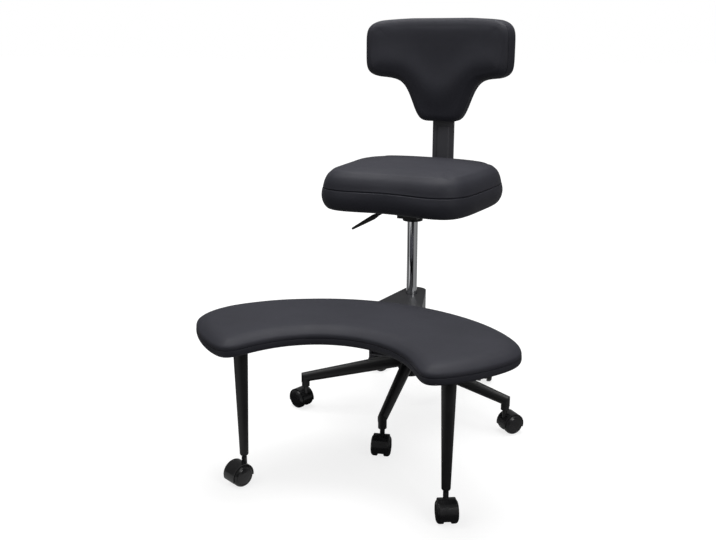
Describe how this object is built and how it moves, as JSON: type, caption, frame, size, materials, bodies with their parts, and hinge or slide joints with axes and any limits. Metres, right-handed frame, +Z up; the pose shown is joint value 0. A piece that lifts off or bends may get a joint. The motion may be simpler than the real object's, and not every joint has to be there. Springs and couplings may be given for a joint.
{
  "type": "cross-legged office chair",
  "caption": "Office chair for sitting cross-legged: padded seat and T-shaped back on a gas column with a star base on casters, and a crescent stool that swings round the column on its own legs",
  "frame": {"origin": "on the floor, under the axis of the column", "axes": "+Z up along the column; the stool stands in front, towards -Y; the height lever is towards -X"},
  "size_m": [0.6927, 0.8672, 0.968],
  "materials": {
    "painted_steel": "satin black powder coat",
    "chrome": "bright chrome plate",
    "plain_steel": "zinc-plated",
    "black_plastic": "glossy black nylon",
    "grip_plastic": "matte black",
    "white_nylon": "plain",
    "rubber": "matte",
    "plywood": "bare",
    "black_leather": "soft satin, fine grain"
  },
  "bodies": {
    "base": {"base_hub": "painted_steel", "base_arms": "painted_steel", "base_stem_sleeves": "plain_steel", "base_caster_stems": "plain_steel", "stand_tube": "painted_steel", "guide_bush": "white_nylon", "thrust_bearing_lower": "plain_steel"},
    "rotor": {"piston_rod": "plain_steel", "piston": "plain_steel", "thrust_bearing_upper": "plain_steel", "rod_clip": "plain_steel", "rubber_buffer": "rubber"},
    "seat": {"gas_cylinder": "chrome", "rod_seal": "rubber", "seat_mechanism": "painted_steel", "lever_pivot_pin": "plain_steel", "seat_board": "plywood", "seat_cushion": "black_leather", "seat_screws": "plain_steel", "back_bar": "painted_steel", "bar_bolts": "plain_steel", "back_board": "plywood", "back_cushion": "black_leather", "back_screws": "painted_steel"},
    "lever": {"lever_rod": "painted_steel", "lever_grip": "grip_plastic"},
    "valve": {"valve_pin": "plain_steel"},
    "stool": {"stool_bracket": "painted_steel", "bracket_bushes": "white_nylon", "mounting_plate": "painted_steel", "bracket_bolts": "plain_steel", "stool_board": "plywood", "stool_cushion": "black_leather", "stool_legs": "painted_steel", "leg_screws": "plain_steel", "stool_stem_sleeves": "plain_steel", "stool_caster_stems": "plain_steel"},
    "caster_front": {"caster_front_housing": "black_plastic"},
    "caster_front_a": {"caster_front_wheel_a": "black_plastic"},
    "caster_front_b": {"caster_front_wheel_b": "black_plastic"},
    "caster_right": {"caster_right_housing": "black_plastic"},
    "caster_right_a": {"caster_right_wheel_a": "black_plastic"},
    "caster_right_b": {"caster_right_wheel_b": "black_plastic"},
    "caster_rear_right": {"caster_rear_right_housing": "black_plastic"},
    "caster_rear_right_a": {"caster_rear_right_wheel_a": "black_plastic"},
    "caster_rear_right_b": {"caster_rear_right_wheel_b": "black_plastic"},
    "caster_rear_left": {"caster_rear_left_housing": "black_plastic"},
    "caster_rear_left_a": {"caster_rear_left_wheel_a": "black_plastic"},
    "caster_rear_left_b": {"caster_rear_left_wheel_b": "black_plastic"},
    "caster_left": {"caster_left_housing": "black_plastic"},
    "caster_left_a": {"caster_left_wheel_a": "black_plastic"},
    "caster_left_b": {"caster_left_wheel_b": "black_plastic"},
    "caster_stool_left": {"caster_stool_left_housing": "black_plastic"},
    "caster_stool_left_a": {"caster_stool_left_wheel_a": "black_plastic"},
    "caster_stool_left_b": {"caster_stool_left_wheel_b": "black_plastic"},
    "caster_stool_right": {"caster_stool_right_housing": "black_plastic"},
    "caster_stool_right_a": {"caster_stool_right_wheel_a": "black_plastic"},
    "caster_stool_right_b": {"caster_stool_right_wheel_b": "black_plastic"}
  },
  "joints": [
    {"name": "seat_swivel", "type": "hinge", "parent": "base", "child": "rotor", "pos_m": [0, 0, 0.1], "axis": [0, 0, 1], "continuous": true},
    {"name": "seat_height", "type": "slide", "parent": "rotor", "child": "seat", "axis": [0, 0, 1], "range_m": [-0.11, 0]},
    {"name": "lever_lift", "type": "hinge", "parent": "seat", "child": "lever", "pos_m": [-0.02187, 0.00241, 0.514], "axis": [0.1097, 0.994, 0], "range_deg": [0, 7], "stiffness_Nm_per_rad": 3, "springref_deg": -3.44},
    {"name": "valve_press", "type": "slide", "parent": "seat", "child": "valve", "axis": [0, 0, -1], "range_m": [0, 0.0032]},
    {"name": "stool_swing", "type": "hinge", "parent": "base", "child": "stool", "pos_m": [0, 0, 0.15], "axis": [0, 0, 1], "continuous": true},
    {"name": "caster_front_swivel", "type": "hinge", "parent": "base", "child": "caster_front", "pos_m": [0.01165, -0.26675, 0.05], "axis": [0, 0, 1], "continuous": true},
    {"name": "caster_front_roll_a", "type": "hinge", "parent": "caster_front", "child": "caster_front_a", "pos_m": [0.01415, -0.28255, 0.024], "axis": [0.9877, 0.1564, 0], "continuous": true},
    {"name": "caster_front_roll_b", "type": "hinge", "parent": "caster_front", "child": "caster_front_b", "pos_m": [0.01415, -0.28255, 0.024], "axis": [0.9877, 0.1564, 0], "continuous": true},
    {"name": "caster_right_swivel", "type": "hinge", "parent": "base", "child": "caster_right", "pos_m": [0.25729, -0.07135, 0.05], "axis": [0, 0, 1], "continuous": true},
    {"name": "caster_right_roll_a", "type": "hinge", "parent": "caster_right", "child": "caster_right_a", "pos_m": [0.26899, -0.06044, 0.024], "axis": [-0.682, 0.7314, 0], "continuous": true},
    {"name": "caster_right_roll_b", "type": "hinge", "parent": "caster_right", "child": "caster_right_b", "pos_m": [0.26899, -0.06044, 0.024], "axis": [-0.682, 0.7314, 0], "continuous": true},
    {"name": "caster_rear_right_swivel", "type": "hinge", "parent": "base", "child": "caster_rear_right", "pos_m": [0.14737, 0.22265, 0.05], "axis": [0, 0, 1], "continuous": true},
    {"name": "caster_rear_right_roll_a", "type": "hinge", "parent": "caster_rear_right", "child": "caster_rear_right_a", "pos_m": [0.14459, 0.2384, 0.024], "axis": [-0.9848, -0.1736, 0], "continuous": true},
    {"name": "caster_rear_right_roll_b", "type": "hinge", "parent": "caster_rear_right", "child": "caster_rear_right_b", "pos_m": [0.14459, 0.2384, 0.024], "axis": [-0.9848, -0.1736, 0], "continuous": true},
    {"name": "caster_rear_left_swivel", "type": "hinge", "parent": "base", "child": "caster_rear_left", "pos_m": [-0.16621, 0.20896, 0.05], "axis": [0, 0, 1], "continuous": true},
    {"name": "caster_rear_left_roll_a", "type": "hinge", "parent": "caster_rear_left", "child": "caster_rear_left_a", "pos_m": [-0.15551, 0.22085, 0.024], "axis": [-0.7431, 0.6691, 0], "continuous": true},
    {"name": "caster_rear_left_roll_b", "type": "hinge", "parent": "caster_rear_left", "child": "caster_rear_left_b", "pos_m": [-0.15551, 0.22085, 0.024], "axis": [-0.7431, 0.6691, 0], "continuous": true},
    {"name": "caster_left_swivel", "type": "hinge", "parent": "base", "child": "caster_left", "pos_m": [-0.25009, -0.09351, 0.05], "axis": [0, 0, 1], "continuous": true},
    {"name": "caster_left_roll_a", "type": "hinge", "parent": "caster_left", "child": "caster_left_a", "pos_m": [-0.26482, -0.08725, 0.024], "axis": [-0.3907, -0.9205, 0], "continuous": true},
    {"name": "caster_left_roll_b", "type": "hinge", "parent": "caster_left", "child": "caster_left_b", "pos_m": [-0.26482, -0.08725, 0.024], "axis": [-0.3907, -0.9205, 0], "continuous": true},
    {"name": "caster_stool_left_swivel", "type": "hinge", "parent": "stool", "child": "caster_stool_left", "pos_m": [-0.22403, -0.49564, 0.05], "axis": [0, 0, 1], "continuous": true},
    {"name": "caster_stool_left_roll_a", "type": "hinge", "parent": "caster_stool_left", "child": "caster_stool_left_a", "pos_m": [-0.23154, -0.50977, 0.024], "axis": [0.8829, -0.4695, 0], "continuous": true},
    {"name": "caster_stool_left_roll_b", "type": "hinge", "parent": "caster_stool_left", "child": "caster_stool_left_b", "pos_m": [-0.23154, -0.50977, 0.024], "axis": [0.8829, -0.4695, 0], "continuous": true},
    {"name": "caster_stool_right_swivel", "type": "hinge", "parent": "stool", "child": "caster_stool_right", "pos_m": [0.21796, -0.49834, 0.05], "axis": [0, 0, 1], "continuous": true},
    {"name": "caster_stool_right_roll_a", "type": "hinge", "parent": "caster_stool_right", "child": "caster_stool_right_a", "pos_m": [0.22421, -0.51307, 0.024], "axis": [0.9205, 0.3907, 0], "continuous": true},
    {"name": "caster_stool_right_roll_b", "type": "hinge", "parent": "caster_stool_right", "child": "caster_stool_right_b", "pos_m": [0.22421, -0.51307, 0.024], "axis": [0.9205, 0.3907, 0], "continuous": true}
  ],
  "couplings": [
    {"joint": "valve_press", "follows": "lever_lift", "m_per_rad": 0.026}
  ]
}
